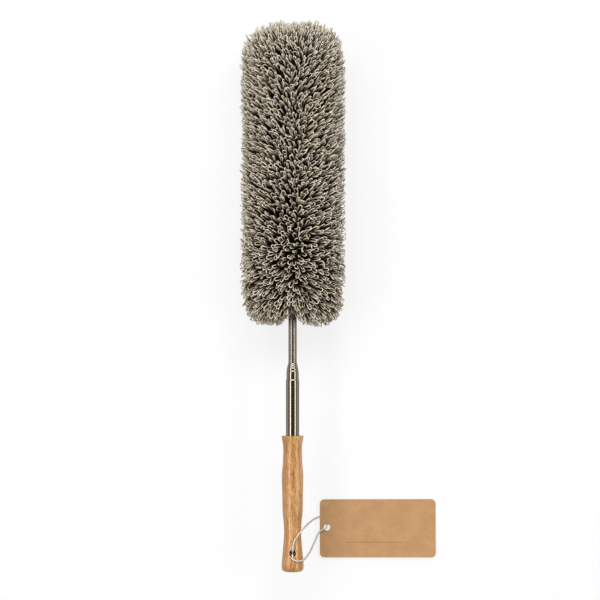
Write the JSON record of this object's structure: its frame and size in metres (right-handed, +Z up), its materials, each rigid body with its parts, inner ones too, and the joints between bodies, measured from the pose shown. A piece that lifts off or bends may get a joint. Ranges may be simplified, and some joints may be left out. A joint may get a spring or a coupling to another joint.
{
  "type": "telescopic duster",
  "caption": "Telescopic duster with a long round bristle head, nested steel tubes, a turned bamboo handle and a hang tag on a string.",
  "frame": {"origin": "on the surface that the duster lies on, below the middle of the collapsed length", "axes": "+Y along the pole from the handle's butt end to the head's crown, +Z up, +X to the side where the hang tag lies"},
  "size_m": [0.2018, 0.56, 0.1034],
  "materials": {
    "bamboo": "satin",
    "steel_tube": "gloss",
    "spring_brass": "satin",
    "nylon": "satin",
    "core_wire": "satin",
    "foam": "matte",
    "bristle_yarn": "matte",
    "cotton_string": "matte",
    "kraft_card": "matte"
  },
  "bodies": {
    "handle": {"handle": "bamboo", "outer_tube": "steel_tube", "foot_plug": "nylon", "tag_string": "cotton_string", "string_knot": "cotton_string", "hang_tag": "kraft_card"},
    "sleeve_1": {"friction_sleeve_1": "spring_brass"},
    "tube_1": {"second_tube": "steel_tube"},
    "sleeve_2": {"friction_sleeve_2": "spring_brass"},
    "tube_2": {"third_tube": "steel_tube"},
    "sleeve_3": {"friction_sleeve_3": "spring_brass"},
    "tube_3": {"fourth_tube": "steel_tube"},
    "sleeve_4": {"friction_sleeve_4": "spring_brass"},
    "tube_4": {"fifth_tube": "steel_tube"},
    "sleeve_5": {"friction_sleeve_5": "spring_brass"},
    "head": {"inner_tube": "steel_tube", "head_connector": "nylon", "core_wire": "core_wire", "foam_core": "foam", "tip_cap": "nylon", "bristle_band_1": "bristle_yarn", "bristle_band_2": "bristle_yarn", "bristle_band_3": "bristle_yarn", "bristle_band_4": "bristle_yarn", "bristle_band_5": "bristle_yarn", "bristle_band_6": "bristle_yarn", "bristle_band_7": "bristle_yarn"}
  },
  "joints": [
    {"name": "slide_1", "type": "slide", "parent": "handle", "child": "sleeve_1", "axis": [0, 1, 0], "range_m": [0, 0.0926]},
    {"name": "turn_1", "type": "hinge", "parent": "sleeve_1", "child": "tube_1", "pos_m": [0, -0.1842, 0.0515], "axis": [0, 1, 0], "continuous": true},
    {"name": "slide_2", "type": "slide", "parent": "tube_1", "child": "sleeve_2", "axis": [0, 1, 0], "range_m": [0, 0.0941]},
    {"name": "turn_2", "type": "hinge", "parent": "sleeve_2", "child": "tube_2", "pos_m": [0, -0.1767, 0.0515], "axis": [0, 1, 0], "continuous": true},
    {"name": "slide_3", "type": "slide", "parent": "tube_2", "child": "sleeve_3", "axis": [0, 1, 0], "range_m": [0, 0.0898]},
    {"name": "turn_3", "type": "hinge", "parent": "sleeve_3", "child": "tube_3", "pos_m": [0, -0.1692, 0.0515], "axis": [0, 1, 0], "continuous": true},
    {"name": "slide_4", "type": "slide", "parent": "tube_3", "child": "sleeve_4", "axis": [0, 1, 0], "range_m": [0, 0.0845]},
    {"name": "turn_4", "type": "hinge", "parent": "sleeve_4", "child": "tube_4", "pos_m": [0, -0.1617, 0.0515], "axis": [0, 1, 0], "continuous": true},
    {"name": "slide_5", "type": "slide", "parent": "tube_4", "child": "sleeve_5", "axis": [0, 1, 0], "range_m": [0, 0.0789]},
    {"name": "turn_5", "type": "hinge", "parent": "sleeve_5", "child": "head", "pos_m": [0, -0.1542, 0.0515], "axis": [0, 1, 0], "continuous": true}
  ]
}
